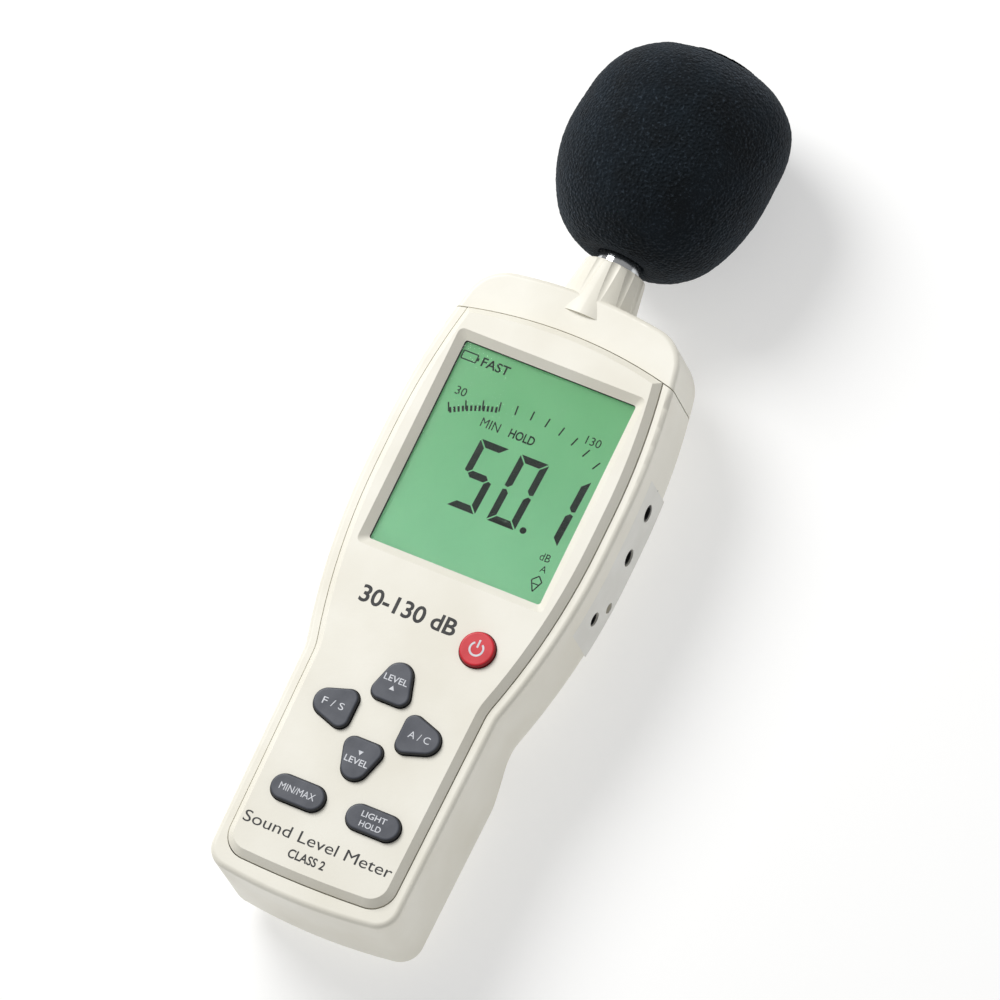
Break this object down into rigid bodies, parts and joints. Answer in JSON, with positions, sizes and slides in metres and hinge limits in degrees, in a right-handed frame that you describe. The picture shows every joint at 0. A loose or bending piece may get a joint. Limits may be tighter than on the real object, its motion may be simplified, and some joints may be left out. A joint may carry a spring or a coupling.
{
  "type": "sound level meter",
  "caption": "Handheld sound level meter: waisted cream case with lit display and rubber keys, half-inch microphone on a fluted neck under a black foam windscreen.",
  "frame": {"origin": "centre of the footprint, on the surface the meter lies on: halfway along its overall length, on its centre plane, level with the lowest point of the windscreen", "axes": "+Y along the meter towards the microphone, +Z out of the display, +X to the right of the display"},
  "size_m": [0.074, 0.2616, 0.058],
  "materials": {
    "case_abs": "moulded cream ABS, fine texture",
    "clear_window": "clear acrylic sheet",
    "gasket_foam": "black foam",
    "lcd_glass": "backlit green liquid-crystal glass",
    "light_guide": "acrylic light guide",
    "white_abs": "moulded white plastic",
    "zebra_rubber": "layered conductive rubber",
    "circuit_board": "green solder mask",
    "chip_epoxy": "black moulding compound",
    "silicone_web": "dark grey silicone rubber",
    "key_grey": "grey silicone rubber, satin",
    "key_red": "red silicone rubber, satin",
    "black_nylon": "black moulded nylon",
    "chrome_tube": "chrome-plated brass",
    "capsule_metal": "turned nickel silver",
    "foam": "open-cell polyurethane foam, charcoal",
    "brass_insert": "turned brass",
    "battery_wrap": "plastic sleeve",
    "spring_steel": "nickel-plated steel",
    "screw_zinc": "zinc-plated steel",
    "label_film": "printed polyester film",
    "lead_pvc": "PVC sheath",
    "rotor_brass": "slotted brass screw"
  },
  "bodies": {
    "case": {"rear_cover": "case_abs", "front_cover": "case_abs", "head_cap": "case_abs", "display_window": "clear_window", "lcd_gasket": "gasket_foam", "lcd_panel": "lcd_glass", "lcd_backlight": "light_guide", "lcd_holder": "white_abs", "zebra_strips": "zebra_rubber", "main_board": "circuit_board", "board_chips": "chip_epoxy", "keypad_mat": "silicone_web", "ac_output_socket": "black_nylon", "dc_output_socket": "black_nylon", "power_jack": "black_nylon", "cal_trimmer": "black_nylon", "mic_tube": "chrome_tube", "mic_capsule": "capsule_metal", "mic_grille": "capsule_metal", "mic_seal": "silicone_web", "tube_clamp": "black_nylon", "mic_board": "circuit_board", "mic_lead": "lead_pvc", "mic_plug": "white_abs", "battery_cells": "battery_wrap", "battery_springs": "spring_steel", "battery_plates": "spring_steel", "housing_screws": "screw_zinc", "cap_screws": "screw_zinc", "board_screws": "screw_zinc", "tripod_insert": "brass_insert", "rating_label": "label_film", "socket_label": "label_film"},
    "battery_door": {"battery_door": "case_abs"},
    "windscreen": {"windscreen": "foam"},
    "cal_rotor": {"cal_rotor": "rotor_brass"},
    "key_power": {"key_power": "key_red"},
    "key_level_up": {"key_level_up": "key_grey"},
    "key_level_down": {"key_level_down": "key_grey"},
    "key_fast_slow": {"key_fast_slow": "key_grey"},
    "key_weighting": {"key_weighting": "key_grey"},
    "key_min_max": {"key_min_max": "key_grey"},
    "key_light_hold": {"key_light_hold": "key_grey"}
  },
  "joints": [
    {"name": "windscreen_slide", "type": "slide", "parent": "case", "child": "windscreen", "axis": [0, 1, 0], "range_m": [0, 0.045]},
    {"name": "battery_door_slide", "type": "slide", "parent": "case", "child": "battery_door", "axis": [0, -1, 0], "range_m": [0, 0.06]},
    {"name": "cal_rotor_turn", "type": "hinge", "parent": "case", "child": "cal_rotor", "pos_m": [0.03059, -0.0188, 0.0185], "axis": [1, 0, 0], "range_deg": [-135, 135]},
    {"name": "key_power_press", "type": "slide", "parent": "case", "child": "key_power", "axis": [0, 0, -1], "range_m": [0, 0.001], "stiffness_N_per_m": 1500},
    {"name": "key_level_up_press", "type": "slide", "parent": "case", "child": "key_level_up", "axis": [0, 0, -1], "range_m": [0, 0.001], "stiffness_N_per_m": 1500},
    {"name": "key_level_down_press", "type": "slide", "parent": "case", "child": "key_level_down", "axis": [0, 0, -1], "range_m": [0, 0.001], "stiffness_N_per_m": 1500},
    {"name": "key_fast_slow_press", "type": "slide", "parent": "case", "child": "key_fast_slow", "axis": [0, 0, -1], "range_m": [0, 0.001], "stiffness_N_per_m": 1500},
    {"name": "key_weighting_press", "type": "slide", "parent": "case", "child": "key_weighting", "axis": [0, 0, -1], "range_m": [0, 0.001], "stiffness_N_per_m": 1500},
    {"name": "key_min_max_press", "type": "slide", "parent": "case", "child": "key_min_max", "axis": [0, 0, -1], "range_m": [0, 0.001], "stiffness_N_per_m": 1500},
    {"name": "key_light_hold_press", "type": "slide", "parent": "case", "child": "key_light_hold", "axis": [0, 0, -1], "range_m": [0, 0.001], "stiffness_N_per_m": 1500}
  ]
}
